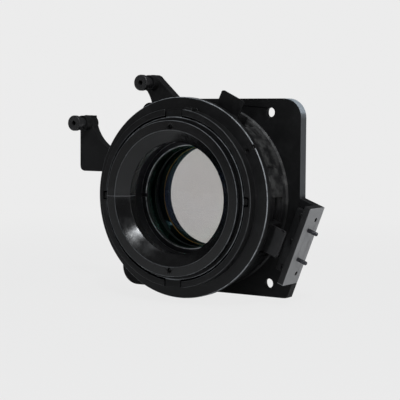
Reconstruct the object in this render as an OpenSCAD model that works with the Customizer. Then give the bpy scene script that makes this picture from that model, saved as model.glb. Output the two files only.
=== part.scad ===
// Projection lens of a small single-panel projector: a moulded mounting plate with a guide sleeve,
// a turning focus ring, and a keyed lens barrel that screws in and out on three cam pins.
// Millimetres. X is to the right, Z is up, and the lens looks along -Y, towards the viewer.
// The origin is on the optical axis, in the plane of the mounting plate's front face.
// Inside the modules z runs forward from that plane, along the axis, and y is up.

/* [Mounting plate] */
// Distance of the plate's sides outside the sleeve's wall
plate_side_margin = 8.1; // [7.6:0.1:11]
// Distance of the plate's top and bottom edges outside the sleeve's wall
plate_end_margin = 3.7; // [3.4:0.1:6]
// Depth of the plate with its stiffening rim
plate_depth = 5.5; // [4.8:0.1:7]
// Thickness of the plate's flat web
plate_web = 2.4; // [1.8:0.1:3]
// Thickness of the rim that stands behind the web
rim_wall = 2; // [1.4:0.1:2.4]
// Radius of the plate's outer corners
corner_radius = 9.5; // [6:0.5:11]
// Distance of the corner holes inside the plate's sides
hole_inset_across = 17.6; // [17:0.1:18.4]
// Distance of the corner holes inside the plate's top and bottom edges
hole_inset_up = 6.95; // [6.6:0.05:7.6]
// Diameter of the corner holes
hole_diameter = 4.8; // [3.5:0.1:5]
// Width of the recess round each corner hole, behind the web
hole_recess = 1.4; // [1:0.1:2.4]
// Wall of the boss round each recess
hole_boss_wall = 1.2; // [1:0.1:1.8]
// Thickness of the ribs behind the web
rib_wall = 1.6; // [1.2:0.1:2.4]

/* [Ears and posts] */
// Distance of the notch's edge from the left post's axis
notch_post_margin = 3.7; // [3.2:0.1:4.6]
// Distance of the notch's centre outside the plate's left edge
notch_beyond_edge = 1.2; // [0:0.1:2]
// Distance of the notch's centre below the plate's top edge
notch_drop = 8; // [7:0.1:9]
// Distance of the left post outside the plate's left edge
left_post_reach = 25.2; // [24.5:0.1:28]
// Distance of the left post below the plate's top edge
left_post_drop = 13.3; // [12:0.1:15]
// Distance of the left ear's lower edge below the plate's top edge
left_ear_drop = 39.8; // [36:0.1:44]
// Radius of the left ear's lower corner
left_ear_corner = 3; // [1.5:0.1:5]
// Distance of the top post above the plate's top edge
top_post_reach = 8.3; // [7:0.1:11]
// Distance of the top post inside the plate's left edge
top_post_inset = 19.4; // [19:0.1:22]
// Radius of each ear's tip
ear_tip_radius = 4.4; // [4.2:0.1:4.6]
// Slope of the top ear's long edge, in degrees below level
top_ear_slope = 42.6; // [35:0.1:50]
// Length of the boss under each post
post_boss_length = 4.2; // [3:0.1:5]
// Radius of the post's neck
post_neck_radius = 3.1; // [2.7:0.1:3.4]
// Length of the post's neck
post_neck_length = 4.2; // [2:0.1:6]
// Radius of the post's head
post_head_radius = 4.2; // [3.6:0.1:4.4]
// Length of the post's head
post_head_length = 2.9; // [2:0.1:5]
// Diameter of the blind hole in the post's head
post_hole_diameter = 2.6; // [1.6:0.1:3.2]

/* [Drive bracket] */
// Angle of the bracket's face, in degrees below level
drive_angle = 21.25; // [18:0.25:24]
// Distance of the bracket's face outside the sleeve's wall
drive_reach = 15.9; // [15:0.1:18]
// Height of the face's upper end above the line through the axis
drive_face_top = 20.3; // [18.5:0.1:22]
// Length of the face
drive_face_length = 41.6; // [38:0.1:43]
// Distance that the bracket's wall stands in front of the plate
drive_wall_forward = 9.5; // [8:0.1:12]
// Thickness of the bracket's wall
drive_wall = 3.5; // [3:0.1:4.2]
// Thickness of the bracket's foot
drive_foot = 3; // [2.4:0.1:3.4]
// Width of the foot on the plate
drive_foot_width = 6.6; // [6.2:0.1:8]
// Distance of the screw holes from the ends of the face
drive_screw_inset = 6.1; // [5:0.1:7]
// Diameter of the screw holes in the face
drive_screw_hole = 2.4; // [1.8:0.1:2.8]
// Distance between the two dowels
dowel_spacing = 15.8; // [14:0.1:18]
// Diameter of the dowels
dowel_diameter = 2; // [1.5:0.1:2.6]
// Length of each dowel outside the face
dowel_stand_out = 5.5; // [4:0.1:8]

/* [Guide sleeve] */
// Distance that the sleeve's wall stands outside the ring's collar
sleeve_step = 1.7; // [1.5:0.1:2.2]
// Length of the sleeve in front of the plate
sleeve_length = 18.5; // [18:0.1:19.5]
// Width of the flare at the sleeve's foot
sleeve_flare = 1.5; // [0.8:0.1:1.8]
// Length of the flare
sleeve_flare_length = 3; // [2:0.1:4]
// Thickness of the sleeve's outer wall
sleeve_wall = 3.7; // [3.2:0.1:4]
// Thickness of the guide tube round the barrel
guide_wall = 3.4; // [2.8:0.1:3.8]
// Thickness of the web that joins the tube and the outer wall
sleeve_web = 2.5; // [2:0.1:4]
// Depth of the four recesses in which the ring's lugs travel
recess_depth = 1.6; // [1.2:0.1:1.9]
// Height of the raised pads between the recesses
pad_height = 0.4; // [0.2:0.1:0.6]
// Wall of the spigot
spigot_wall = 2.3; // [1.6:0.1:2.6]

/* [Focus ring] */
// Distance that the ring's rim stands outside its collar
ring_overhang = 5.9; // [5.2:0.1:6.6]
// Depth of the focus ring behind its lip
ring_depth = 8; // [7.5:0.1:9]
// Depth of the ring's rim
rim_depth = 4.5; // [3.5:0.1:6]
// Distance that the rim stands out from the ring's skirt
rim_step = 2.2; // [1:0.1:2.4]
// Wall of the raised collar in the ring's middle
collar_wall = 3.3; // [3:0.1:3.8]
// Height of the raised collar above the lip
collar_height = 5.3; // [4.6:0.1:6]
// Width of each lug round the ring
lug_width = 14.1; // [11:0.1:14.6]
// Distance of the lugs' claws in front of the plate
lug_back = 6; // [5:0.1:8]
// Distance that the two tabs stand out from the sleeve's wall
tab_height = 10.6; // [6:0.1:12]
// Thickness of the tabs
tab_thickness = 1.5; // [1.2:0.1:3]
// Lowest angle of the focus ring from rest, in degrees
focus_min = -4; // [-4:1:-1]
// Highest angle of the focus ring from rest, in degrees
focus_max = 14; // [8:1:14]
// Travel of the barrel for each degree of the ring
focus_pitch = 0.2; // [0.14:0.01:0.22]

/* [Lens barrel] */
// Wall of the barrel round the lenses
barrel_wall = 6.8; // [6.4:0.1:8]
// Distance that the front flange stands out from the barrel
flange_step = 4.6; // [4.2:0.1:6]
// Thickness of the front flange
flange_thickness = 4.3; // [3.4:0.1:4.6]
// Distance of the flange's front above the ring's lip
flange_front = 5; // [4.8:0.1:5.6]
// Thickness of the four keys
key_thickness = 2; // [1.6:0.1:2.6]
// Width of the top and bottom keys
wide_key_width = 9; // [7:0.1:11]
// Width of the side keys
narrow_key_width = 3.2; // [2.6:0.1:6]
// Diameter of the cam pins' heads
cam_head_diameter = 4; // [3.4:0.1:4.4]

/* [Hood] */
// Distance of the cone's throat outside the lenses' clear surface
hood_throat_margin = 2.3; // [1.8:0.1:2.6]
// Width of the cone, from its throat to its front edge
hood_cone_width = 6; // [5:0.1:6.4]
// Depth of the cone
hood_cone_depth = 5.3; // [4.5:0.1:6.5]
// Width of the hood's front face
hood_face_width = 4.9; // [4:0.1:5.4]
// Height of the hood above the barrel's flange
hood_height = 3.1; // [2.6:0.1:4]
// Diameter of the two spanner holes
spanner_hole_diameter = 2.4; // [1.4:0.1:2.8]

/* [Lenses] */
// Clear radius of the lens surfaces
clear_radius = 25.8; // [24:0.1:29]
// Width of the lenses' ground rim
lens_rim = 3.2; // [2.8:0.1:4]
// Thickness of the front lens at its edge
front_lens_edge = 6.2; // [5:0.1:6.6]
// Radius of curvature of the front lens's front
front_lens_curve = 92; // [85:1:140]
// Radius of curvature of the front lens's back
front_lens_back_curve = 260; // [220:5:400]
// Thickness of the middle lens at its edge
middle_lens_edge = 6.2; // [5.6:0.1:6.6]
// Radius of curvature of the middle lens's hollow front
middle_lens_curve = 215; // [200:5:300]
// Radius of curvature of the middle lens's hollow back
middle_lens_back_curve = 160; // [150:5:260]
// Thickness of the rear lens at its edge
rear_lens_edge = 4.6; // [4:0.1:5]
// Radius of curvature of the rear lens's front
rear_lens_curve = 135; // [125:5:220]
// Thickness of the retaining rings
retainer_thickness = 1.8; // [1.4:0.1:2.2]

/* [Hidden] */
$fn = 96;
lens_facets = 480;

// Overrun of every cut past the face that it opens
overrun = 0.6;
// Clearance of a part that drops into its place
seat_gap = 0.05;
// Clearance of a sliding or turning fit
run_gap = 0.06;
// Clearance between parts that only pass each other
pass_gap = 0.3;

// The round pieces, each set on the one inside it
lens_play = 0.2;
lens_radius = clear_radius + lens_rim;
cell_radius = lens_radius + lens_play;
barrel_radius = cell_radius + barrel_wall;
flange_radius = barrel_radius + flange_step;
collar_gap = 0.9;
collar_bore = flange_radius + collar_gap;
collar_radius = collar_bore + collar_wall;
ring_radius = collar_radius + ring_overhang;
sleeve_radius = collar_radius + sleeve_step;

// Plate, ears and the rear ribs
plate_width = 2 * (sleeve_radius + plate_side_margin);
plate_height = 2 * (sleeve_radius + plate_end_margin);
hole_spacing_across = plate_width - 2 * hole_inset_across;
hole_spacing_up = plate_height - 2 * hole_inset_up;
hole_recess_radius = hole_diameter / 2 + hole_recess;
hole_boss_radius = hole_recess_radius + hole_boss_wall;
screw_boss_wall = 2.2;
plate_left = -plate_width / 2;
plate_top = plate_height / 2;
left_post_at = [plate_left - left_post_reach, plate_top - left_post_drop];
top_post_at = [plate_left + top_post_inset, plate_top + top_post_reach];
notch_at = [plate_left - notch_beyond_edge, plate_top - notch_drop];
notch_radius = norm(left_post_at - notch_at) - notch_post_margin;
left_ear_bottom = plate_top - left_ear_drop;
post_shank_radius = 2.2;
post_boss_step = 0.2;
tip_blend = 0.1;
post_chamfer = 0.3;
post_hole_depth = 5;
hub_wall = 8;

// Drive bracket
drive_face_distance = sleeve_radius + drive_reach;
face_bottom = drive_face_top - drive_face_length;
face_middle = face_bottom + drive_face_length / 2;
drive_wall_inner = drive_face_distance - drive_wall;
drive_screw_spacing = drive_face_length - 2 * drive_screw_inset;
drive_screw_shift = -0.4;
drive_screw_centre = face_middle + drive_screw_shift;
drive_screw_back = 0.6;
drive_screw_relief = 4;
dowel_shift = 1.2;
dowel_centre = face_middle + dowel_shift;
dowel_forward = 4;
dowel_seat_depth = 2.6;
dowel_seat_step = 0.2;
dowel_seat_radius = dowel_diameter / 2 - dowel_seat_step;
dowel_chamfer = 0.4;
dowel_relief = 0.3;
gusset_wall = 1.8;
gusset_height = 5;
gusset_reach = 4;
gusset_edge = 1.9;
foot_inset = 4;
gusset_spacing = drive_face_length / 2 - foot_inset - gusset_wall / 2 - gusset_edge;
foot_screw_diameter = 2.2;
foot_screw_cover = 0.5;
foot_screw_length = plate_web + drive_foot - foot_screw_cover;
foot_head_diameter = 4;
foot_head_height = 1.6;
foot_screw_inset = 11;
foot_screw_edge = 1.5;
foot_inner = drive_wall_inner - drive_foot_width;
foot_screw_out = foot_inner + foot_screw_diameter / 2 + foot_screw_edge;
foot_screw_spacing = drive_face_length - 2 * foot_screw_inset;

// Guide sleeve
guide_radius = barrel_radius + run_gap;
guide_outer = guide_radius + guide_wall;
guide_relief = 0.5;
guide_land = 4;
sleeve_inner = sleeve_radius - sleeve_wall;
recess_radius = sleeve_radius - recess_depth;
washer_thickness = 0.5;
ring_cap = 1.6;
spigot_play = 0.4;
spigot_length = washer_thickness + ring_depth - ring_cap - spigot_play;
spigot_inset = 1.6;
spigot_radius = collar_radius - spigot_inset;
plate_bore_radius = guide_outer + seat_gap;
sleeve_screw_circle = (guide_outer + sleeve_inner) / 2;
sleeve_screw_diameter = 2.6;
sleeve_screw_depth = 7;
sleeve_head_diameter = 5;
sleeve_head_height = 2;
sleeve_boss_radius = 2.7;
sleeve_boss_length = 9;
screw_slot_width = 0.7;
screw_slot_depth = 0.9;
screw_slot_share = 0.65;
sleeve_screw_angles = [45, 135, 225, 315];
pad_gap_angle = 2;
pad_angle = 28;

// Focus ring and its lugs
ring_back = sleeve_length + washer_thickness;
ring_front = ring_back + ring_depth;
ring_bore = spigot_radius + run_gap;
skirt_radius = ring_radius - rim_step;
lip_drop = 0.7;
lip_chamfer = 0.4;
collar_chamfer = 0.4;
collar_front = ring_front + collar_height;
collar_tab_angle = 79.3;
collar_tab_width = 4.4;
collar_tab_height = 1.2;
lug_inner = recess_radius + pass_gap;
tab_outer = sleeve_radius + tab_height;
tab_drop = 2.5;
tab_corner = 1.2;
claw_length = 2.2;
claw_reach = 1.5;
claw_radius = lug_inner - claw_reach;
tab_angles = [64, -22];
lug_angles = [tab_angles[0], tab_angles[1], tab_angles[0] + 180, tab_angles[1] + 180];
lug_half_angle = asin(lug_width / 2 / lug_inner);
recess_margin = 0.6;
recess_low = focus_min - lug_half_angle - recess_margin;
recess_high = focus_max + lug_half_angle + recess_margin;
recess_rise = 0.3;
recess_start = sleeve_flare_length + recess_rise;
core_wall = 1.4;
core_roof = 3;
core_depth = ring_depth - core_roof;
index_angle = 32;
index_notch_width = 2.2;
index_notch_depth = 1.4;
index_dimple_diameter = 1.8;
index_dimple_depth = 0.6;

// Barrel, keys and cam
flange_top = ring_front + flange_front;
flange_bottom = flange_top - flange_thickness;
key_reach_cut = 0.5;
key_reach = collar_gap + collar_wall - key_reach_cut;
narrow_key_reach = 2.2;
key_side_gap = 0.6;
key_slot_depth = 0.8;
key_slot_floor = flange_top - key_thickness + focus_min * focus_pitch - pass_gap;
hood_thread_step = 2.4;
hood_thread_radius = cell_radius + hood_thread_step;
barrel_back = -9;
cell_wall = 2.3;
skin_wall = 1.8;
core_pocket_inner = cell_radius + cell_wall;
core_pocket_outer = barrel_radius - skin_wall;
core_pocket_top = 20;
barrel_rib_wall = 1.8;
barrel_rib_count = 6;
cam_angles = [30, 150, 270];
cam_height = 9;
cam_shank_radius = 1.2;
cam_shank_start = cell_radius + cell_wall / 2;
cam_boss_radius = 2.8;
cam_head_lift = 0.2;
cam_head_inset = 0.3;
cam_head_start = barrel_radius + cam_head_lift;
cam_head_end = guide_outer - cam_head_inset;
cam_slot_half = cam_head_diameter / 2 + pass_gap;
cam_mean_radius = guide_radius + guide_wall / 2;
cam_mean_angle = (focus_min + focus_max) / 2;
cam_slope = atan(focus_pitch / (cam_mean_radius * PI / 180));
cam_half_run = cam_mean_radius * sin((focus_max - focus_min) / 2) / cos(cam_slope);

// Hood
hood_top = flange_top + hood_height;
hood_throat = hood_top - hood_cone_depth;
hood_throat_radius = clear_radius + hood_throat_margin;
hood_rim_radius = hood_throat_radius + hood_cone_width;
hood_face_radius = hood_rim_radius + hood_face_width;
hood_thread_wall = 3;
hood_thread_length = 7.8;
hood_thread_end = flange_top - hood_thread_length;
hood_bore = hood_thread_radius - hood_thread_wall;
hood_throat_land = 0.5;
spanner_hole_depth = 1.8;
spanner_hole_inset = 1.6;
spanner_circle = hood_rim_radius + spanner_hole_inset;

// Lens stack, from the shoulder in the barrel
shoulder_lip = 0.2;
retainer_lip = 0.4;
shoulder_top = 10.3;
shoulder_thickness = 1.7;
shoulder_radius = clear_radius + shoulder_lip;
shoulder_bottom = shoulder_top - shoulder_thickness;
front_lens_top = shoulder_top + front_lens_edge;
retainer_bore = clear_radius + retainer_lip;
retainer_radius = cell_radius - seat_gap;
retainer_notch_width = 2;
retainer_notch_depth = 1;
middle_lens_bottom = shoulder_bottom - middle_lens_edge;
stop_thickness = 0.4;
stop_lip = 0.1;
stop_radius = clear_radius - stop_lip;
stop_bottom = middle_lens_bottom - stop_thickness;
spacer_thickness = 1.6;
spacer_wall = 2.2;
rear_lens_top = stop_bottom - spacer_thickness;
rear_lens_bottom = rear_lens_top - rear_lens_edge;
rear_retainer_lip = 1.4;
rear_retainer_bore = clear_radius + rear_retainer_lip;
rear_retainer_bottom = rear_lens_bottom - retainer_thickness;

function sag(curve) = curve - sqrt(curve * curve - clear_radius * clear_radius);
function polar(radius, angle) = [radius * cos(angle), radius * sin(angle)];

// Lays the axis of a piece, drawn along z, along the lens axis
module forward() {
    rotate([90, 0, 0]) children();
}

module turned(profile) {
    rotate_extrude() polygon(profile);
}

// A tube between two heights
module tube(outer, inner, low, high) {
    translate([0, 0, low]) difference() {
        cylinder(r = outer, h = high - low);
        translate([0, 0, -overrun]) cylinder(r = inner, h = high - low + 2 * overrun);
    }
}

// A cylinder between two heights
module rod(radius, low, high) {
    translate([0, 0, low]) cylinder(r = radius, h = high - low);
}

// A ring sector between two angles, two radii and two heights
module sector(outer, inner, low, high, from_angle, to_angle) {
    rotate([0, 0, from_angle]) translate([0, 0, low])
        rotate_extrude(angle = to_angle - from_angle)
            translate([inner, 0]) square([outer - inner, high - low]);
}

// A cylinder that lies along a radius, between two radii
module spoke(radius, inner, outer, height) {
    translate([inner, 0, height]) rotate([0, 90, 0]) cylinder(r = radius, h = outer - inner);
}

// The four corner holes of the plate
module at_holes() {
    for (side = [-1, 1], end = [-1, 1])
        translate([side * hole_spacing_across / 2, end * hole_spacing_up / 2]) children();
}

// The two posts' places on the ears
module at_posts() {
    for (place = [left_post_at, top_post_at])
        translate(place) children();
}

// The four screws that hold the sleeve
module at_sleeve_screws() {
    for (angle = sleeve_screw_angles)
        translate(polar(sleeve_screw_circle, angle)) children();
}

// The two screws from behind into the bracket's foot
module at_foot_screws() {
    at_drive() for (end = [-1, 1])
        translate([foot_screw_out, face_middle + end * foot_screw_spacing / 2]) children();
}

// The lines of the two screw holes in the bracket's face
module at_drive_screws() {
    at_drive() for (end = [-1, 1])
        translate([0, drive_screw_centre + end * drive_screw_spacing / 2]) children();
}

// The bracket's own directions: x out through its face, y up along it
module at_drive() {
    rotate([0, 0, -drive_angle]) children();
}

module rounded_box(left, right, bottom, top, radius) {
    translate([left + radius, bottom]) square([right - left - 2 * radius, top - bottom]);
    translate([left, bottom + radius]) square([right - left, top - bottom - 2 * radius]);
    for (x = [left + radius, right - radius], y = [bottom + radius, top - radius])
        translate([x, y]) circle(r = radius);
}

// Outline of the left ear, drawn in by a margin
module left_ear(margin) {
    left = left_post_at.x - ear_tip_radius;
    right = plate_left + corner_radius;
    translate([left + margin, left_ear_bottom + left_ear_corner])
        square([right - left, left_post_at.y - left_ear_bottom - left_ear_corner]);
    translate([left + left_ear_corner, left_ear_bottom + margin])
        square([right - left - left_ear_corner, left_ear_corner]);
    translate([left + left_ear_corner, left_ear_bottom + left_ear_corner])
        circle(r = left_ear_corner - margin);
    translate(left_post_at) square([notch_radius / 2, ear_tip_radius - tip_blend - margin]);
}

// Outline of the top ear, drawn in by a margin
module top_ear(margin) {
    tip = ear_tip_radius - margin;
    across = [sin(top_ear_slope), cos(top_ear_slope)];
    along = [cos(top_ear_slope), -sin(top_ear_slope)];
    shoulder = top_post_at + (tip - tip_blend) * across;
    run = (shoulder.y - plate_top + corner_radius) / sin(top_ear_slope);
    foot = shoulder + run * along;
    polygon([top_post_at, shoulder, foot, [top_post_at.x, foot.y]]);
    inner = top_post_at.x - tip + tip_blend;
    polygon([[inner, top_post_at.y], top_post_at, [top_post_at.x, foot.y], [inner, foot.y]]);
}

// Outline of the plate, drawn in by a margin
module plate_outline(margin) {
    difference() {
        union() {
            rounded_box(plate_left + margin, -plate_left - margin, -plate_top + margin,
                plate_top - margin, corner_radius - margin);
            left_ear(margin);
            top_ear(margin);
            at_drive() translate([0, face_bottom])
                square([drive_wall_inner - seat_gap - margin, drive_face_length - margin]);
        }
        translate(notch_at) circle(r = notch_radius + margin);
        at_drive() translate([drive_face_distance - margin, -plate_height])
            square([plate_width, 2 * plate_height]);
        at_drive() translate([drive_wall_inner - seat_gap - margin, face_bottom - seat_gap - margin])
            square([plate_width, plate_height]);
    }
    at_posts() circle(r = ear_tip_radius - margin);
    at_holes() circle(r = hole_boss_radius - margin);
}

// The ribs and bosses that stay standing in the plate's rear pocket
module plate_stiffeners() {
    circle(r = plate_bore_radius + hub_wall);
    at_holes() circle(r = hole_boss_radius);
    at_posts() circle(r = ear_tip_radius);
    for (side = [-1, 1], end = [-1, 1])
        rotate([0, 0, atan2(end * hole_spacing_up, side * hole_spacing_across)])
            translate([plate_bore_radius, -rib_wall / 2])
                square([norm([hole_spacing_up, hole_spacing_across]) / 2 - plate_bore_radius, rib_wall]);
    for (place = [left_post_at, top_post_at])
        rotate([0, 0, atan2(place.y, place.x)])
            translate([plate_bore_radius, -rib_wall / 2])
                square([norm(place) - plate_bore_radius, rib_wall]);
    at_foot_screws() circle(r = foot_head_diameter / 2 + screw_boss_wall);
}

module mounting_plate() {
    color([0.07, 0.07, 0.075]) forward() difference() {
        union() {
            translate([0, 0, -plate_depth]) linear_extrude(height = plate_depth) plate_outline(0);
            at_posts() rod(ear_tip_radius - post_boss_step, -plate_web, post_boss_length);
        }
        translate([0, 0, -plate_depth - overrun])
            linear_extrude(height = plate_depth - plate_web + overrun) difference() {
                plate_outline(rim_wall);
                plate_stiffeners();
            }
        rod(plate_bore_radius, -plate_depth - overrun, overrun);
        at_holes() {
            rod(hole_diameter / 2, -plate_depth - overrun, overrun);
            rod(hole_recess_radius, -plate_depth - overrun, -plate_web);
        }
        at_sleeve_screws() {
            rod(sleeve_screw_diameter / 2 + seat_gap, -plate_depth - overrun, overrun);
            rod(sleeve_head_diameter / 2 + pass_gap, -plate_depth - overrun, -plate_web);
        }
        at_foot_screws() {
            rod(foot_screw_diameter / 2 + seat_gap, -plate_depth - overrun, overrun);
            rod(foot_head_diameter / 2 + pass_gap, -plate_depth - overrun, -plate_web);
        }
        at_drive_screws() spoke(drive_screw_hole / 2, drive_wall_inner - drive_screw_relief,
            drive_wall_inner + overrun, -drive_screw_back);
        at_posts() rod(post_shank_radius + seat_gap, -plate_depth - overrun, post_boss_length + overrun);
    }
}

module guide_sleeve() {
    color([0.085, 0.085, 0.09]) forward() difference() {
        union() {
            turned([
                [sleeve_inner, 0], [sleeve_radius + sleeve_flare, 0],
                [sleeve_radius + sleeve_flare / 3, sleeve_flare_length / 3],
                [sleeve_radius, sleeve_flare_length], [sleeve_radius, sleeve_length],
                [sleeve_inner, sleeve_length]
            ]);
            tube(sleeve_radius, guide_radius, sleeve_length - sleeve_web, sleeve_length);
            tube(guide_outer, guide_radius, -plate_web, sleeve_length);
            tube(spigot_radius, spigot_radius - spigot_wall, sleeve_length - sleeve_web,
                sleeve_length + spigot_length);
            at_sleeve_screws() rod(sleeve_boss_radius, 0, sleeve_boss_length);
            for (lug = lug_angles)
                sector(sleeve_radius + pad_height, sleeve_inner + sleeve_wall / 2, 0, sleeve_length,
                    lug + recess_low - pad_gap_angle - pad_angle, lug + recess_low - pad_gap_angle);
        }
        for (lug = lug_angles) {
            sector(sleeve_radius + sleeve_wall, recess_radius, recess_start, sleeve_length + overrun,
                lug + recess_low, lug + recess_high);
            sector(sleeve_radius + sleeve_wall, sleeve_inner - overrun, lug_back - pass_gap,
                lug_back + claw_length + pass_gap, lug + recess_low, lug + recess_high);
        }
        rod(guide_radius + guide_relief, guide_land - plate_web, sleeve_length - guide_land);
        for (angle = cam_angles) cam_slot(angle);
        at_sleeve_screws() rod(sleeve_screw_diameter / 2 + seat_gap, -overrun, sleeve_screw_depth + overrun);
    }
}

// One sloping slot through the guide tube
module cam_slot(angle) {
    for (turn = [focus_min, focus_max])
        rotate([0, 0, angle + turn])
            spoke(cam_slot_half, barrel_radius - overrun, guide_outer + overrun,
                cam_height + turn * focus_pitch);
    rotate([0, 0, angle + cam_mean_angle])
        translate([barrel_radius - overrun, 0, cam_height + cam_mean_angle * focus_pitch])
            rotate([cam_slope, 0, 0]) translate([0, -cam_half_run, -cam_slot_half])
                cube([guide_outer - barrel_radius + 2 * overrun, 2 * cam_half_run, 2 * cam_slot_half]);
}

// A pan-head screw that enters forward from a height
module screw(radius, length, head_radius, head_height) {
    difference() {
        union() {
            translate([0, 0, -head_height]) cylinder(r = head_radius, h = head_height);
            cylinder(r = radius, h = length);
        }
        for (turn = [0, 90])
            rotate([0, 0, turn])
                translate([-head_radius * screw_slot_share, -screw_slot_width / 2, -head_height - overrun])
                    cube([2 * head_radius * screw_slot_share, screw_slot_width, screw_slot_depth + overrun]);
    }
}

module sleeve_screws() {
    color([0.62, 0.62, 0.6]) forward() at_sleeve_screws() translate([0, 0, -plate_web])
        screw(sleeve_screw_diameter / 2, plate_web + sleeve_screw_depth, sleeve_head_diameter / 2,
            sleeve_head_height);
}

module ring_washer() {
    color([0.8, 0.78, 0.7]) forward()
        tube(recess_radius - pass_gap, ring_bore, sleeve_length, sleeve_length + washer_thickness);
}

// One lug, which hooks over the sleeve's wall and turns with the ring
module ring_lug() {
    difference() {
        union() {
            translate([lug_inner, -lug_width / 2, lug_back])
                cube([skirt_radius - lug_inner, lug_width, ring_back + overrun - lug_back]);
            translate([lug_inner - claw_reach, -lug_width / 2, lug_back])
                cube([claw_reach + overrun, lug_width, claw_length]);
        }
        rod(claw_radius, lug_back - overrun, ring_back - overrun);
        rod(lug_inner, lug_back + claw_length, ring_back - overrun);
    }
}

// One tab, which stands out behind the ring's rim for the hand
module ring_tab() {
    translate([0, 0, ring_back - tab_drop - tab_thickness]) linear_extrude(height = tab_thickness)
        rounded_box(lug_inner, tab_outer, -lug_width / 2, lug_width / 2, tab_corner);
}

module focus_ring() {
    color([0.06, 0.06, 0.065]) forward() difference() {
        union() {
            difference() {
                turned([
                    [ring_bore, ring_back], [skirt_radius, ring_back],
                    [skirt_radius, ring_front - rim_depth], [ring_radius, ring_front - rim_depth],
                    [ring_radius, ring_front - lip_drop - lip_chamfer],
                    [ring_radius - lip_chamfer, ring_front - lip_drop],
                    [collar_radius, ring_front],
                    [collar_radius, collar_front - collar_chamfer],
                    [collar_radius - collar_chamfer, collar_front],
                    [collar_bore, collar_front],
                    [collar_bore, ring_front - ring_cap], [ring_bore, ring_front - ring_cap]
                ]);
                tube(skirt_radius - core_wall, ring_bore + core_wall, ring_back - overrun,
                    ring_back + core_depth);
            }
            rotate([0, 0, collar_tab_angle])
                translate([collar_radius - collar_chamfer, -collar_tab_width / 2, ring_front - lip_drop])
                    cube([collar_tab_height + collar_chamfer, collar_tab_width,
                        collar_height + lip_drop - collar_chamfer]);
            for (angle = lug_angles) rotate([0, 0, angle]) ring_lug();
            for (angle = tab_angles) rotate([0, 0, angle]) ring_tab();
        }
        for (turn = [0, 180]) {
            rotate([0, 0, 90 + turn]) key_slot(wide_key_width, key_reach);
            rotate([0, 0, turn]) key_slot(narrow_key_width, narrow_key_reach);
        }
        rotate([0, 0, index_angle])
            translate([ring_radius - index_notch_depth, -index_notch_width / 2,
                ring_front - ring_cap - overrun])
                cube([index_notch_depth + overrun, index_notch_width, ring_cap + 2 * overrun]);
        rotate([0, 0, index_angle])
            translate([(ring_radius + collar_radius) / 2 - index_notch_depth, 0,
                ring_front - lip_drop - index_dimple_depth])
                cylinder(d = index_dimple_diameter, h = index_dimple_depth + lip_drop + overrun);
    }
}

// A slot in the raised collar for one key, along x
module key_slot(width, reach) {
    translate([flange_radius, -width / 2 - key_side_gap, key_slot_floor])
        cube([reach + key_slot_depth, width + 2 * key_side_gap, collar_front]);
}

module lens_barrel() {
    color([0.055, 0.055, 0.06]) forward() difference() {
        union() {
            rod(barrel_radius, barrel_back, flange_bottom + overrun);
            rod(flange_radius, flange_bottom, flange_top);
            for (turn = [0, 180]) {
                rotate([0, 0, 90 + turn]) key(wide_key_width, key_reach);
                rotate([0, 0, turn]) key(narrow_key_width, narrow_key_reach);
            }
        }
        rod(shoulder_radius, barrel_back - overrun, flange_top + overrun);
        rod(cell_radius, barrel_back - overrun, shoulder_bottom);
        rod(cell_radius, shoulder_top, flange_top + overrun);
        rod(hood_thread_radius + seat_gap, hood_thread_end, flange_top + overrun);
        difference() {
            tube(core_pocket_outer, core_pocket_inner, barrel_back - overrun, core_pocket_top);
            for (index = [0 : barrel_rib_count - 1])
                rotate([0, 0, index * 360 / barrel_rib_count])
                    translate([0, -barrel_rib_wall / 2, barrel_back - 2 * overrun])
                        cube([barrel_radius, barrel_rib_wall, core_pocket_top - barrel_back + 3 * overrun]);
            for (angle = cam_angles)
                rotate([0, 0, angle])
                    spoke(cam_boss_radius, core_pocket_inner - overrun, barrel_radius, cam_height);
        }
        for (angle = cam_angles)
            rotate([0, 0, angle])
                spoke(cam_shank_radius + seat_gap, cam_shank_start - seat_gap, barrel_radius + overrun,
                    cam_height);
    }
}

// A key on the rim of the flange, along x
module key(width, reach) {
    translate([hood_thread_radius + cell_wall, -width / 2, flange_top - key_thickness])
        cube([flange_radius + reach - hood_thread_radius - cell_wall, width, key_thickness]);
}

module cam_pins() {
    color([0.72, 0.6, 0.32]) forward() for (angle = cam_angles) rotate([0, 0, angle]) {
        spoke(cam_shank_radius, cam_shank_start, cam_head_start + overrun, cam_height);
        spoke(cam_head_diameter / 2, cam_head_start, cam_head_end, cam_height);
    }
}

module front_hood() {
    color([0.05, 0.05, 0.055]) forward() difference() {
        turned([
            [hood_throat_radius, hood_throat],
            [hood_rim_radius, hood_top],
            [hood_face_radius, hood_top],
            [hood_face_radius, flange_top],
            [hood_thread_radius, flange_top],
            [hood_thread_radius, hood_thread_end + seat_gap],
            [hood_bore, hood_thread_end + seat_gap],
            [hood_bore, hood_throat - hood_throat_land],
            [hood_throat_radius, hood_throat - hood_throat_land]
        ]);
        for (side = [-1, 1])
            translate([0, side * spanner_circle, hood_top - spanner_hole_depth])
                cylinder(d = spanner_hole_diameter, h = spanner_hole_depth + overrun);
    }
}

// A threaded retaining ring with two notches for a spanner, on the face at the given height
module retainer(bore, low, notch_height) {
    difference() {
        tube(retainer_radius, bore, low, low + retainer_thickness);
        for (side = [-1, 1])
            translate([side * retainer_radius - retainer_radius / 2, -retainer_notch_width / 2, notch_height])
                cube([retainer_radius, retainer_notch_width, retainer_notch_depth + overrun]);
    }
}

module front_retaining_ring() {
    color([0.3, 0.3, 0.31]) forward()
        retainer(retainer_bore, front_lens_top, front_lens_top + retainer_thickness - retainer_notch_depth);
}

module rear_retaining_ring() {
    color([0.3, 0.3, 0.31]) forward()
        retainer(rear_retainer_bore, rear_retainer_bottom, rear_retainer_bottom - overrun);
}

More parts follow.
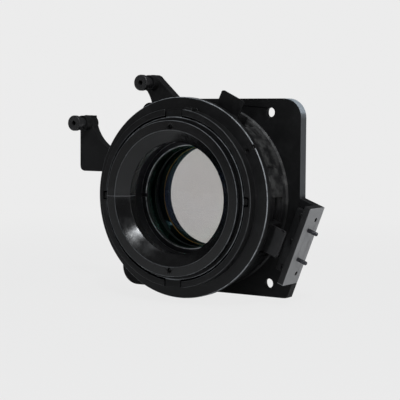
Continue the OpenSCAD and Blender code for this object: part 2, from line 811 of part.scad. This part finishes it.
// A spherical cap of the clear radius that rises from a height
module cap(curve, height) {
    intersection() {
        translate([0, 0, height + sag(curve) - curve]) sphere(r = curve, $fn = lens_facets);
        rod(clear_radius, height - overrun, height + sag(curve) + overrun);
    }
}

module front_lens() {
    color([0.75, 0.9, 0.85, 0.5]) forward() {
        rod(lens_radius, shoulder_top, front_lens_top);
        cap(front_lens_curve, front_lens_top);
        mirror([0, 0, 1]) cap(front_lens_back_curve, -shoulder_top);
    }
}

module middle_lens() {
    color([0.75, 0.88, 0.9, 0.5]) forward() difference() {
        rod(lens_radius, middle_lens_bottom, shoulder_bottom);
        translate([0, 0, shoulder_bottom - sag(middle_lens_curve) + middle_lens_curve])
            sphere(r = middle_lens_curve, $fn = lens_facets);
        translate([0, 0, middle_lens_bottom + sag(middle_lens_back_curve) - middle_lens_back_curve])
            sphere(r = middle_lens_back_curve, $fn = lens_facets);
    }
}

module aperture_stop() {
    color([0.04, 0.04, 0.04]) forward()
        tube(retainer_radius, stop_radius, stop_bottom, middle_lens_bottom);
}

module lens_spacer() {
    color([0.1, 0.1, 0.1]) forward()
        tube(retainer_radius, retainer_radius - spacer_wall, rear_lens_top, stop_bottom);
}

module rear_lens() {
    color([0.75, 0.9, 0.85, 0.5]) forward() {
        rod(lens_radius, rear_lens_bottom, rear_lens_top);
        cap(rear_lens_curve, rear_lens_top);
    }
}

module drive_bracket() {
    color([0.08, 0.08, 0.085]) forward() difference() {
        at_drive() {
            translate([drive_wall_inner, face_bottom, -plate_depth])
                cube([drive_wall, drive_face_length, plate_depth + drive_wall_forward]);
            translate([foot_inner, face_bottom + foot_inset, 0])
                cube([drive_foot_width + drive_wall / 2, drive_face_length - 2 * foot_inset, drive_foot]);
            for (place = [-1, 0, 1])
                translate([drive_wall_inner, face_middle + place * gusset_spacing + gusset_wall / 2,
                    drive_foot])
                    rotate([90, 0, 0]) linear_extrude(height = gusset_wall) gusset();
        }
        at_drive() for (end = [-1, 1]) {
            translate([0, dowel_centre + end * dowel_spacing / 2, 0])
                spoke(dowel_seat_radius + seat_gap, drive_face_distance - dowel_seat_depth - seat_gap,
                    drive_face_distance + overrun, dowel_forward);
            translate([0, dowel_centre + end * dowel_spacing / 2, 0])
                spoke(dowel_diameter / 2 + seat_gap, drive_face_distance - dowel_relief,
                    drive_face_distance + overrun, dowel_forward);
        }
        at_drive_screws() spoke(drive_screw_hole / 2, drive_wall_inner - drive_screw_relief,
            drive_face_distance + overrun, -drive_screw_back);
        at_foot_screws() rod(foot_screw_diameter / 2 + seat_gap, -overrun,
            drive_foot - foot_screw_cover + seat_gap);
    }
}

// Side view of one gusset, from the wall's inner face inward
module gusset() {
    polygon([
        [drive_wall / 2, -drive_foot / 2], [drive_wall / 2, gusset_height],
        [0, gusset_height], [-gusset_reach, 0], [-gusset_reach, -drive_foot / 2]
    ]);
}

module bracket_screws() {
    color([0.62, 0.62, 0.6]) forward() at_foot_screws() translate([0, 0, -plate_web])
        screw(foot_screw_diameter / 2, foot_screw_length, foot_head_diameter / 2, foot_head_height);
}

module bracket_dowels() {
    tip = drive_face_distance + dowel_stand_out;
    color([0.16, 0.16, 0.17]) forward() at_drive() for (end = [-1, 1])
        translate([0, dowel_centre + end * dowel_spacing / 2, dowel_forward]) rotate([0, 90, 0]) {
            rod(dowel_seat_radius, drive_face_distance - dowel_seat_depth, drive_face_distance + overrun);
            rod(dowel_diameter / 2, drive_face_distance, tip - dowel_chamfer);
            translate([0, 0, tip - dowel_chamfer])
                cylinder(r1 = dowel_diameter / 2, r2 = dowel_diameter / 2 - dowel_chamfer, h = dowel_chamfer);
        }
}

// A turned post: a shank in the ear's boss, a neck and a head with a blind hole
module post(place) {
    head_low = post_boss_length + post_neck_length;
    head_high = head_low + post_head_length;
    color([0.07, 0.07, 0.072]) forward() translate(place) difference() {
        turned([
            [0, -plate_depth], [post_shank_radius, -plate_depth],
            [post_shank_radius, post_boss_length], [post_neck_radius, post_boss_length],
            [post_neck_radius, head_low], [post_head_radius - post_chamfer, head_low],
            [post_head_radius, head_low + post_chamfer],
            [post_head_radius, head_high - post_chamfer],
            [post_head_radius - post_chamfer, head_high], [0, head_high]
        ]);
        rod(post_hole_diameter / 2, head_high - post_hole_depth, head_high + overrun);
    }
}

module upper_post() {
    post(top_post_at);
}

module lower_post() {
    post(left_post_at);
}

mounting_plate();
guide_sleeve();
sleeve_screws();
ring_washer();
focus_ring();
lens_barrel();
cam_pins();
front_hood();
front_retaining_ring();
front_lens();
middle_lens();
aperture_stop();
lens_spacer();
rear_lens();
rear_retaining_ring();
drive_bracket();
bracket_screws();
bracket_dowels();
upper_post();
lower_post();
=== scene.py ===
import math

import bpy
from mathutils import Matrix, Vector


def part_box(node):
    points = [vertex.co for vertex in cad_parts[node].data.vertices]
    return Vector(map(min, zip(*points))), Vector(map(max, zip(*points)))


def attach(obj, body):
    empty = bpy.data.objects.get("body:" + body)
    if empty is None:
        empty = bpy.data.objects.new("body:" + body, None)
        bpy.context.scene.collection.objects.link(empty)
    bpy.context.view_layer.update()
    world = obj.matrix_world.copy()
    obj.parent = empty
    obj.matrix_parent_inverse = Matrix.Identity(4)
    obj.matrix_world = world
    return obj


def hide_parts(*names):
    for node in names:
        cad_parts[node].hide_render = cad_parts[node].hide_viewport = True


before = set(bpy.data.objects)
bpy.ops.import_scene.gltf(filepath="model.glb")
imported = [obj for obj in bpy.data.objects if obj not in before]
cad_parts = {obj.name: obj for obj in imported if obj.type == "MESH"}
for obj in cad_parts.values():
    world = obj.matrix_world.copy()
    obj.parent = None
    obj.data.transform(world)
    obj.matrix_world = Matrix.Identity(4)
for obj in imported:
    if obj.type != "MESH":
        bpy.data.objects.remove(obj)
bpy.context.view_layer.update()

# Mounting plate. One moulding in black glass-filled plastic: a thin web with a rim and ribs behind,
# corner holes for its screws, a sloping lobe at the right and two ears with a round notch between
# them. The mould leaves a fine grain. Painted highlights lie on the upper right corner and right edge.
MM = 0.001
SHARP = math.radians(30)
BEVEL_SEGMENTS = 2
NOISE_SPREAD = (0.3, 0.7)
GRAIN_DEPTH = 0.04 * MM
SPECK_FADE = (0.66, 0.76)
FILM_FADE = (0.45, 0.68)
CLEAN_PLASTIC = (0.8, 0.8, 0.84)
FILMED_PLASTIC = (1.5, 1.5, 1.56)
DUST = (0.32, 0.31, 0.29, 1)
PAINTED_LIGHT_SHARE = 0.8
PAINTED_CORNER_HIGHLIGHT = (0.42, 0.47, 0.52, 1)
PAINTED_EDGE_HIGHLIGHT = (0.1, 0.105, 0.11, 1)

# Places on the plate in millimetres, and the stretches over which the painted highlights come in.
ROUND_CENTRE_ACROSS, ROUND_CENTRE_UP = 45.1, 40.7
ROUND_FADE = (9.2, 9.45)
CORNER_ACROSS_FADE = (44, 46)
CORNER_UP_FADE = (39.5, 42)
EDGE_FADE = (54.2, 54.5)
EDGE_UP_FADE = (0, 3)


class Wire:
    """One value in a node tree. Arithmetic on it adds Math nodes there."""

    def __init__(self, nodes, socket):
        self.nodes = nodes
        self.socket = socket

    def _math(self, operation, first, second):
        return self.nodes.node("ShaderNodeMath", {"operation": operation}, {0: first, 1: second})

    def __add__(self, other):
        return self._math("ADD", self, other)

    __radd__ = __add__

    def __mul__(self, other):
        return self._math("MULTIPLY", self, other)

    __rmul__ = __mul__

    def __sub__(self, other):
        return self._math("SUBTRACT", self, other)

    def __rsub__(self, other):
        return self._math("SUBTRACT", other, self)

    def __pow__(self, other):
        return self._math("POWER", self, other)


class Nodes:
    """A node tree in which one method makes every node."""

    def __init__(self, tree):
        self.tree = tree

    def node(self, kind, settings=None, inputs=None, output=0):
        """Makes a node, sets its settings, and fills its inputs with values or wires."""
        made = self.tree.nodes.new(kind)
        for setting, value in (settings or {}).items():
            setattr(made, setting, value)
        for socket, value in (inputs or {}).items():
            if isinstance(value, Wire):
                self.tree.links.new(value.socket, made.inputs[socket])
            else:
                made.inputs[socket].default_value = value
        return Wire(self, made.outputs[output]) if made.outputs else None


class Finish(Nodes):
    """A material under construction, whose patterns lie on Object coordinates."""

    def __init__(self, name, **constants):
        self.material = bpy.data.materials.new(name)
        self.material.use_nodes = True
        super().__init__(self.material.node_tree)
        self.shader = self.tree.nodes["Principled BSDF"]
        for socket, value in constants.items():
            self.shader.inputs[socket.replace("_", " ")].default_value = value
        self.shaded = Wire(self, self.shader.outputs[0])
        self.place = self.node("ShaderNodeTexCoord", output="Object")

    def feed(self, socket, value):
        self.tree.links.new(value.socket, self.shader.inputs[socket])

    def surface(self, share, first, second):
        """Mixes two shaders on the surface."""
        mixed = self.node("ShaderNodeMixShader", None, {0: share, 1: first, 2: second})
        self.tree.links.new(mixed.socket, self.tree.nodes["Material Output"].inputs["Surface"])

    def along(self, axis):
        """Place along one axis, in millimetres."""
        return self.node("ShaderNodeSeparateXYZ", None, {"Vector": self.place}, output=axis) * (1 / MM)

    def from_axis(self):
        """Distance from the lens's own axis, in millimetres."""
        return (self.along("X") ** 2 + self.along("Z") ** 2) ** 0.5

    def colour(self, value):
        """Gives the finish its colour, which lighten can still cover in places."""
        self.base = value
        self.feed("Base Color", value)

    def lighten(self, mask, colour):
        """Covers the masked part of the finish with another colour."""
        self.colour(self.blend(mask, self.base, colour))

    def roughen(self, pattern, smoothest, roughest):
        """Lets a noise pattern move the roughness between two values."""
        self.feed("Roughness", self.step(pattern, *NOISE_SPREAD, smoothest, roughest))

    def noise(self, scale, detail=2.0, roughness=0.5):
        return self.node("ShaderNodeTexNoise", None, {
            "Vector": self.place, "Scale": scale, "Detail": detail, "Roughness": roughness})

    def step(self, value, start, end, at_start=0.0, at_end=1.0):
        return self.node("ShaderNodeMapRange", {"interpolation_type": "SMOOTHSTEP"}, {
            "Value": value, "From Min": start, "From Max": end, "To Min": at_start, "To Max": at_end})

    def blend(self, share, first, second):
        return self.node("ShaderNodeMix", {"data_type": "RGBA"}, {
            "Factor": share, 6: first, 7: second}, output=2)

    def bump(self, height, depth, strength):
        return self.node("ShaderNodeBump", None, {
            "Height": height, "Distance": depth, "Strength": strength})


def at_share(colour, share):
    """An opaque colour at a share of its strength."""
    return tuple(part * share for part in colour[:3]) + (1,)


def moulded_black(name, shade, gloss, grain=0.5, dust=0.25, level=0.35):
    """Black moulded plastic: fine mould grain, uneven sheen, and a little pale dust."""
    finish = Finish(name, Specular_IOR_Level=level)
    cloud = finish.noise(scale=70, detail=3)
    patch = finish.noise(scale=380, detail=4, roughness=0.65)
    fine = finish.noise(scale=3600, detail=2, roughness=0.6)
    specks = finish.step(finish.noise(scale=1500, detail=2, roughness=0.7), *SPECK_FADE)
    film = finish.step(cloud * 0.6 + patch * 0.4, *FILM_FADE)
    plastic = finish.blend(film, at_share(CLEAN_PLASTIC, shade), at_share(FILMED_PLASTIC, shade))
    finish.colour(finish.blend(specks * film * dust, plastic, DUST))
    finish.roughen(patch * 0.5 + cloud * 0.5, smoothest=gloss - 0.06, roughest=gloss + 0.1)
    finish.feed("Normal", finish.bump(fine + patch * 0.5, depth=grain * GRAIN_DEPTH, strength=0.6))
    return finish


def paint(piece, finish):
    piece.data.materials.clear()
    piece.data.materials.append(finish.material)


def only(piece):
    """Selects one piece and nothing else."""
    bpy.ops.object.select_all(action="DESELECT")
    piece.select_set(True)
    bpy.context.view_layer.objects.active = piece


def merge_corners(piece):
    """Joins the loose triangles of a CAD mesh into one skin."""
    only(piece)
    bpy.ops.object.mode_set(mode="EDIT")
    bpy.ops.mesh.select_all(action="SELECT")
    bpy.ops.mesh.remove_doubles(threshold=0.002 * MM)
    bpy.ops.object.mode_set(mode="OBJECT")


def break_edges(piece, width):
    """Rounds the piece's sharp edges to a width in millimetres, and keeps its flat faces flat."""
    bevel = piece.modifiers.new("broken edges", "BEVEL")
    bevel.width = width * MM
    bevel.segments = BEVEL_SEGMENTS
    bevel.limit_method = "ANGLE"
    bevel.angle_limit = SHARP
    bevel.use_clamp_overlap = False
    bpy.ops.object.modifier_apply(modifier=bevel.name)
    bpy.ops.object.shade_smooth_by_angle(angle=SHARP)
    weigh = piece.modifiers.new("flat faces stay flat", "WEIGHTED_NORMAL")
    weigh.keep_sharp = True
    bpy.ops.object.modifier_apply(modifier=weigh.name)


def finished(node, body, finish, edge):
    """Puts a finished piece in the CAD node's place, with its edges broken, and inside its box."""
    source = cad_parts[node]
    piece = bpy.data.objects.new(node + "_piece", source.data.copy())
    bpy.context.scene.collection.objects.link(piece)
    merge_corners(piece)
    if edge:
        break_edges(piece, edge)
    else:
        bpy.ops.object.shade_smooth_by_angle(angle=SHARP)
    low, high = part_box(node)
    for vertex in piece.data.vertices:
        vertex.co = [min(max(value, least), most) for value, least, most in zip(vertex.co, low, high)]
    paint(piece, finish)
    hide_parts(node)
    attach(piece, body)


plate_finish = moulded_black("plate_plastic", shade=0.007, gloss=0.5, level=0.25)
across = plate_finish.along("X")
up = plate_finish.along("Z")
# Painted highlights on the rounded upper right corner and along the right edge.
from_round = ((across - ROUND_CENTRE_ACROSS) ** 2 + (up - ROUND_CENTRE_UP) ** 2) ** 0.5
in_corner = plate_finish.step(across, *CORNER_ACROSS_FADE) * plate_finish.step(up, *CORNER_UP_FADE)
plate_finish.lighten(plate_finish.step(from_round, *ROUND_FADE) * in_corner * PAINTED_LIGHT_SHARE, PAINTED_CORNER_HIGHLIGHT)
on_edge = plate_finish.step(across, *EDGE_FADE) * plate_finish.step(up, *EDGE_UP_FADE)
plate_finish.lighten(on_edge * PAINTED_LIGHT_SHARE, PAINTED_EDGE_HIGHLIGHT)
finished("mounting_plate", "plate", plate_finish, edge=0.3)

# Guide sleeve. A double-walled moulding in a slippery black plastic, screwed to the plate from
# behind. The ring's lugs travel in its recesses, and its spigot carries the ring. Dried grease
# clouds the outside at the upper right.
GREASE = (0.075, 0.075, 0.073, 1)
GREASE_SHARE = 0.7
GREASE_FADE = (0.42, 0.66)
GREASE_UP_FADE = (-6, 4)
GREASE_ACROSS_FADE = (15, 28)
sleeve_finish = moulded_black("sleeve_plastic", shade=0.010, gloss=0.4, grain=0.8, dust=0.5)
grease = sleeve_finish.step(sleeve_finish.noise(scale=150, detail=4, roughness=0.7), *GREASE_FADE)
greased_side = (sleeve_finish.step(sleeve_finish.along("Z"), *GREASE_UP_FADE)
                * sleeve_finish.step(sleeve_finish.along("X"), *GREASE_ACROSS_FADE))
sleeve_finish.lighten(grease * greased_side * GREASE_SHARE, GREASE)
finished("guide_sleeve", "plate", sleeve_finish, edge=0.2)

# Sleeve screws. Zinc-plated pan-head screws with a crosswise slot, driven in from the plate's back.
# The plating keeps faint marks of the turned steel under it.
ZINC = (0.62, 0.61, 0.57, 1)
DULLED_SHARE = 0.7
TURNING_DEPTH = 0.001 * MM


def plated_steel(name, tint, gloss):
    """Turned and plated metal, a little uneven in colour and shine."""
    finish = Finish(name, Metallic=1.0)
    turned = finish.noise(scale=900, detail=3, roughness=0.6)
    finish.colour(finish.blend(finish.noise(scale=260, detail=3), tint, at_share(tint, DULLED_SHARE)))
    finish.roughen(turned, smoothest=gloss - 0.08, roughest=gloss + 0.12)
    finish.feed("Normal", finish.bump(turned, depth=TURNING_DEPTH, strength=0.2))
    return finish


screw_finish = plated_steel("zinc_plate", ZINC, gloss=0.32)
finished("sleeve_screws", "plate", screw_finish, edge=0.12)

# Slip ring. A pale, low-friction plastic washer, punched from sheet, which lies between the sleeve
# and the focus ring.
SLIP_PLASTIC = (0.62, 0.6, 0.5, 1)
WORN_SLIP_PLASTIC = (0.5, 0.48, 0.4, 1)
slip_finish = Finish("slip_plastic")
slip_finish.colour(slip_finish.blend(slip_finish.noise(scale=300, detail=3), SLIP_PLASTIC, WORN_SLIP_PLASTIC))
slip_finish.roughen(slip_finish.noise(scale=900), smoothest=0.25, roughest=0.4)
finished("ring_washer", "plate", slip_finish, edge=0.08)

# Drive bracket. A moulded angle on the plate's sloping lobe: a foot on the plate, three small
# gussets, and a wall whose outer face is smooth and square, because the motor lies on it. That
# face and the lower end carry a painted pale sheen, for the light they catch.
SLOPE = math.radians(21.25)
FACE_FADE = (61.9, 62.3)
PAINTED_FACE_SHEEN = (0.34, 0.34, 0.345, 1)
FACE_SHEEN_SHARE = 0.9
LOWER_END_FADE = (-20.9, -21.2)
PAINTED_END_SHEEN = (0.45, 0.46, 0.47, 1)
bracket_finish = moulded_black("bracket_plastic", shade=0.014, gloss=0.42, grain=0.3, dust=0.15, level=0.4)
bracket_across = bracket_finish.along("X")
bracket_up = bracket_finish.along("Z")
outward = bracket_across * math.cos(SLOPE) - bracket_up * math.sin(SLOPE)
lengthwise = bracket_across * math.sin(SLOPE) + bracket_up * math.cos(SLOPE)
# Painted sheen on the outer face and on the lower end.
bracket_finish.lighten(bracket_finish.step(outward, *FACE_FADE) * FACE_SHEEN_SHARE, PAINTED_FACE_SHEEN)
bracket_finish.lighten(bracket_finish.step(lengthwise, *LOWER_END_FADE) * PAINTED_LIGHT_SHARE, PAINTED_END_SHEEN)
finished("drive_bracket", "plate", bracket_finish, edge=0.25)

# Bracket screws. Two zinc-plated screws like the sleeve's, driven through the plate from behind
# into the bracket's foot.
finished("bracket_screws", "plate", screw_finish, edge=0.1)

# Dowels. Ground steel pins with a black oxide finish, pressed into the bracket's face, where they
# place the motor.
BLACK_OXIDE = (0.1, 0.1, 0.11, 1)
dowel_finish = plated_steel("black_oxide", BLACK_OXIDE, gloss=0.3)
finished("bracket_dowels", "plate", dowel_finish, edge=0.08)

# Posts. Two turned and blackened posts with a neck and a drilled head, pressed into the bosses of
# the plate's ears.
post_finish = moulded_black("post_black", shade=0.02, gloss=0.3, grain=0.3, dust=0.1, level=0.5)
finished("upper_post", "plate", post_finish, edge=0.15)
finished("lower_post", "plate", post_finish, edge=0.15)

# Focus ring. One moulding: a dished lip with a thin rim and a skirt behind, a raised collar slotted
# for the barrel's keys, two tabs, and four lugs that hook over the sleeve. Its edges are turned, and
# carry painted highlights here and there. The lower tab's face carries painted light.
PAINTED_PLASTIC_HIGHLIGHT = (0.4, 0.42, 0.44, 1)
RIM_EDGE = (50.7, 26, 0.5, 0.8)
COLLAR_OUTER_EDGE = (44.8, 32.2, 0.35, 0.4)
COLLAR_INNER_EDGE = (41.5, 32.3, 0.3, 0.3)
FULL_REACH_SHARE = 0.3
PATCH_FADE = (0.35, 0.55)
LEAST_HIGHLIGHT_SHARE = 0.45
TAB_FADE = (51.3, 52)
LOWER_TAB_FADE = (0, -6)
PAINTED_TAB_LIGHT = (0.03, 0.03, 0.031, 1)


def painted_edge_highlights(finish, edges, colour):
    """Paints highlights on round edges. Each has its radius, its distance forward, its reach and a share."""
    radius = finish.from_axis()
    forward = finish.along("Y") * -1.0
    patchy = finish.noise(scale=240, detail=3, roughness=0.6)
    highlight_patches = finish.step(patchy, *PATCH_FADE, at_start=LEAST_HIGHLIGHT_SHARE)
    for edge_radius, edge_forward, reach, share in edges:
        away = ((radius - edge_radius) ** 2 + (forward - edge_forward) ** 2) ** 0.5
        finish.lighten(finish.step(away, reach, reach * FULL_REACH_SHARE) * highlight_patches * share, colour)


ring_finish = moulded_black("ring_plastic", shade=0.007, gloss=0.4, dust=0.2, level=0.28)
# Painted highlights on the rim and the collar's edges.
painted_edge_highlights(ring_finish, (RIM_EDGE, COLLAR_OUTER_EDGE, COLLAR_INNER_EDGE), PAINTED_PLASTIC_HIGHLIGHT)
# Painted light on the lower tab's face, where the light falls on it.
lit_lower_tab = (ring_finish.step(ring_finish.from_axis(), *TAB_FADE)
             * ring_finish.step(ring_finish.along("Z"), *LOWER_TAB_FADE))
ring_finish.lighten(lit_lower_tab * PAINTED_LIGHT_SHARE, PAINTED_TAB_LIGHT)
finished("focus_ring", "ring", ring_finish, edge=0.3)

# Lens barrel. A moulded tube, ribbed inside from behind, with a front flange and four keys that
# the focus ring drives. The flange's outer edge carries a painted highlight.
FLANGE_EDGE = (40.6, 32, 0.4, 0.6)
barrel_finish = moulded_black("barrel_plastic", shade=0.006, gloss=0.42, dust=0.2, level=0.22)
# Painted highlight on the flange's outer edge.
painted_edge_highlights(barrel_finish, (FLANGE_EDGE,), PAINTED_PLASTIC_HIGHLIGHT)
finished("lens_barrel", "barrel", barrel_finish, edge=0.25)

# Cam pins. Turned brass pins in the barrel's bosses. They run in the guide tube's sloping slots,
# and so screw the barrel in and out.
BRASS = (0.68, 0.5, 0.22, 1)
brass_finish = plated_steel("turned_brass", BRASS, gloss=0.28)
finished("cam_pins", "barrel", brass_finish, edge=0.15)

# Hood. A conical front ring of satin black plastic, screwed into the barrel's mouth with a pin
# spanner in its two holes. Its edges carry painted highlights, and a thin paler line is painted
# across the cone at the left.
PAINTED_SATIN_HIGHLIGHT = (0.36, 0.38, 0.4, 1)
HOOD_OUTER_EDGE = (39, 35.1, 0.4, 0.4)
HOOD_INNER_EDGE = (34.1, 35.1, 0.3, 0.2)
PALE_LINE = (0.16, 0.16, 0.17, 1)
PALE_LINE_SHARE = 0.6
PALE_LINE_SQUARE_FADE = (0.05, 0.01)
PALE_LINE_ACROSS_FADE = (-27, -28)
hood_finish = moulded_black("hood_plastic", shade=0.006, gloss=0.17, grain=0.1, dust=0.12, level=0.45)
# Painted highlights on the hood's outer and inner edges.
painted_edge_highlights(hood_finish, (HOOD_OUTER_EDGE, HOOD_INNER_EDGE), PAINTED_SATIN_HIGHLIGHT)
# A thin paler line across the cone at the left.
pale_line = (hood_finish.step(hood_finish.along("Z") ** 2, *PALE_LINE_SQUARE_FADE)
        * hood_finish.step(hood_finish.along("X"), *PALE_LINE_ACROSS_FADE))
hood_finish.lighten(pale_line * PALE_LINE_SHARE, PALE_LINE)
finished("front_hood", "barrel", hood_finish, edge=0.25)

# Retaining rings. Black anodised aluminium rings with an outer thread and two spanner notches. The
# front one's edges carry a painted bright-metal highlight.
ANODISED = (0.07, 0.07, 0.075, 1)
PAINTED_METAL_HIGHLIGHT = (0.85, 0.87, 0.9, 1)
RING_INNER_EDGE = (26.2, 18.3, 0.55, 1.0)
RING_OUTER_EDGE = (29.1, 18.3, 0.4, 0.5)
anodised_finish = plated_steel("black_anodised", ANODISED, gloss=0.35)
# Painted highlights on the ring's inner and outer edges.
painted_edge_highlights(anodised_finish, (RING_INNER_EDGE, RING_OUTER_EDGE), PAINTED_METAL_HIGHLIGHT)
finished("front_retaining_ring", "barrel", anodised_finish, edge=0.12)
finished("rear_retaining_ring", "barrel", anodised_finish, edge=0.12)

# Aperture stop and spacer. Turned rings in flat black, so that they return no light. The stop's
# inner edge carries a painted amber glint, for the coloured light from the elements' coatings.
PAINTED_AMBER_GLINT = (0.6, 0.34, 0.07, 1)
STOP_EDGE_FADE = (26.4, 25.9)
STOP_ACROSS_FADE = (2, -6)
stop_finish = moulded_black("stop_black", shade=0.01, gloss=0.7, grain=0.4, dust=0.1, level=0.2)
amber_glint_edge = (stop_finish.step(stop_finish.from_axis(), *STOP_EDGE_FADE)
              * stop_finish.step(stop_finish.along("X"), *STOP_ACROSS_FADE))
# Painted amber glint on part of the stop's inner edge.
stop_finish.lighten(amber_glint_edge, PAINTED_AMBER_GLINT)
finished("aperture_stop", "barrel", stop_finish, edge=0)
flat_black = moulded_black("flat_black", shade=0.01, gloss=0.7, grain=0.4, dust=0.1, level=0.2)
finished("lens_spacer", "barrel", flat_black, edge=0.1)

# Lens elements. Ground and polished glass with blackened rims, held between the barrel's shoulder
# and the retaining rings. Thin coatings turn the reflections green and amber.
BLACK_RIM = (0.01, 0.01, 0.01, 1)
RIM_FADE = (25.85, 25.95)
COATING_FADE = (18, 27)
COATING_WANDER = 8.0
THROUGH_GLASS = (0.895, 0.89, 0.885, 1)
POLISHED, GROUND = 0.03, 0.5
FACING_REFLECTION, GLANCING_REFLECTION = 0.03, 0.85
GLANCING_POWER = 4


def coated_glass(name, inner, outer):
    """Clear coated glass: one reflection in the middle, another farther out, and a black ground rim."""
    finish = Finish(name)
    radius = finish.from_axis()
    wander = finish.noise(scale=60, detail=2) * COATING_WANDER
    rim = finish.step(radius, *RIM_FADE)
    finish.colour(finish.blend(finish.step(radius + wander, *COATING_FADE), inner, outer))
    finish.lighten(rim, BLACK_RIM)
    finish.feed("Metallic", 1.0 - rim)
    finish.feed("Roughness", rim * GROUND + POLISHED)
    clear = finish.node("ShaderNodeBsdfTransparent", None, {"Color": THROUGH_GLASS})
    turned_away = finish.node("ShaderNodeLayerWeight", None, {"Blend": 0.5}, output="Facing")
    reflected = turned_away ** GLANCING_POWER * GLANCING_REFLECTION + FACING_REFLECTION
    finish.surface(reflected * (1.0 - rim) + rim, clear, finish.shaded)
    return finish


front_glass = coated_glass("front_glass", inner=(0.4, 0.55, 0.95, 1), outer=(0.35, 1, 0.7, 1))
middle_glass = coated_glass("middle_glass", inner=(0.8, 0.5, 0.35, 1), outer=(0.5, 0.5, 0.8, 1))
rear_glass = coated_glass("rear_glass", inner=(0.5, 0.7, 0.8, 1), outer=(0.85, 0.75, 0.35, 1))
finished("front_lens", "barrel", front_glass, edge=0)
finished("middle_lens", "barrel", middle_glass, edge=0)
finished("rear_lens", "barrel", rear_glass, edge=0)

# Floor. A pale sheet under the lens, wide enough to fill the view, which fades into the backdrop
# and keeps the object's soft shadow.
BACKDROP = (0.838, 0.838, 0.838, 1)
FLOOR_SIZE = 12
FLOOR_HEIGHT = -53.5 * MM
FLOOR_PAPER = (0.8, 0.8, 0.8, 1)
FAR_FADE = (0.1, 0.6)
NEAR_SHARE = 0.94


def seen_directly(nodes):
    """1 where the camera looks, straight or through glass, and 0 for light that falls on things."""
    straight = nodes.node("ShaderNodeLightPath", output="Is Camera Ray")
    through = nodes.node("ShaderNodeLightPath", output="Is Transmission Ray")
    return nodes.node("ShaderNodeMath", {"operation": "MAXIMUM"}, {0: straight, 1: through})


bpy.ops.object.select_all(action="DESELECT")
bpy.ops.mesh.primitive_plane_add(size=FLOOR_SIZE, location=(0, 0, FLOOR_HEIGHT))
floor = bpy.context.object
floor.name = "floor"
floor_finish = Finish("pale_floor", Base_Color=FLOOR_PAPER, Roughness=0.9)
from_middle = floor_finish.node(
    "ShaderNodeVectorMath", {"operation": "LENGTH"}, {0: floor_finish.place}, output="Value")
far = floor_finish.step(from_middle, *FAR_FADE, at_start=NEAR_SHARE)
glow = floor_finish.node("ShaderNodeEmission", None, {"Color": BACKDROP})
floor_finish.surface(far * seen_directly(floor_finish), floor_finish.shaded, glow)
paint(floor, floor_finish)

# Light. A plain dim surround, which looks like the backdrop where the camera sees it, two broad
# soft lamps at the right and above, a small one high in front, and a weak fill at the left.
SURROUND = (0.1, 0.1, 0.102, 1)
WHITE = (1, 1, 1)
world = bpy.context.scene.world or bpy.data.worlds.new("studio")
bpy.context.scene.world = world
world.use_nodes = True
world.node_tree.nodes.clear()
sky = Nodes(world.node_tree)
soft = sky.node("ShaderNodeBackground", None, {"Color": SURROUND})
backdrop = sky.node("ShaderNodeBackground", None, {"Color": BACKDROP})
choose = sky.node("ShaderNodeMixShader", None, {0: seen_directly(sky), 1: soft, 2: backdrop})
sky.node("ShaderNodeOutputWorld", None, {"Surface": choose})


def lamp(name, place, size, power, colour=WHITE):
    """A rectangular lamp that faces the lens, in metres and watts."""
    data = bpy.data.lights.new(name, "AREA")
    data.shape = "RECTANGLE"
    data.size, data.size_y = size
    data.energy = power
    data.color = colour
    made = bpy.data.objects.new(name, data)
    made.location = place
    made.rotation_euler = (-Vector(place)).to_track_quat("-Z", "Y").to_euler()
    bpy.context.scene.collection.objects.link(made)


lamp("right_soft_box", place=(1.1, -0.25, 0.35), size=(0.9, 0.9), power=3.4)
lamp("top_soft_box", place=(0.1, -0.1, 1.1), size=(0.9, 0.7), power=3, colour=(0.93, 0.97, 1))
lamp("left_fill", place=(-0.9, -0.8, 0.12), size=(0.7, 0.5), power=0.2)
lamp("front_window", place=(0.42, -0.58, 0.76), size=(0.1, 0.24), power=4.4, colour=(0.94, 0.97, 1))

# Camera, at the photograph's angle. Its direction, distance and focal length come from a fit to the
# round edges of the ring and the hood and to the plate's corners and holes.
AZIMUTH, ELEVATION, ROLL = (math.radians(angle) for angle in (32.74, 3.885, 0.362))
AIM = Vector((-4.668, 0, -2.651)) * MM
CAMERA_DISTANCE = 638.6 * MM
SENSOR_WIDTH_MM = 36
PICTURE_WIDTH_PIXELS = 400
FOCAL_LENGTH_PIXELS = 1220.6
NEAREST_SEEN = 10 * MM

toward_camera = Vector((
    math.sin(AZIMUTH) * math.cos(ELEVATION),
    -math.cos(AZIMUTH) * math.cos(ELEVATION),
    math.sin(ELEVATION)))
level = Vector((math.cos(AZIMUTH), math.sin(AZIMUTH), 0))
rise = toward_camera.cross(level)
sideways = math.cos(ROLL) * level + math.sin(ROLL) * rise
upward = -math.sin(ROLL) * level + math.cos(ROLL) * rise
eye = AIM + toward_camera * CAMERA_DISTANCE
camera_data = bpy.data.cameras.new("camera")
camera_data.sensor_width = SENSOR_WIDTH_MM
camera_data.lens = SENSOR_WIDTH_MM * FOCAL_LENGTH_PIXELS / PICTURE_WIDTH_PIXELS
camera_data.clip_start = NEAREST_SEEN
camera = bpy.data.objects.new("camera", camera_data)
camera.matrix_world = Matrix((
    (sideways.x, upward.x, toward_camera.x, eye.x),
    (sideways.y, upward.y, toward_camera.y, eye.y),
    (sideways.z, upward.z, toward_camera.z, eye.z),
    (0, 0, 0, 1)))
bpy.context.scene.collection.objects.link(camera)
bpy.context.scene.camera = camera
bpy.context.scene.view_settings.view_transform = "Standard"
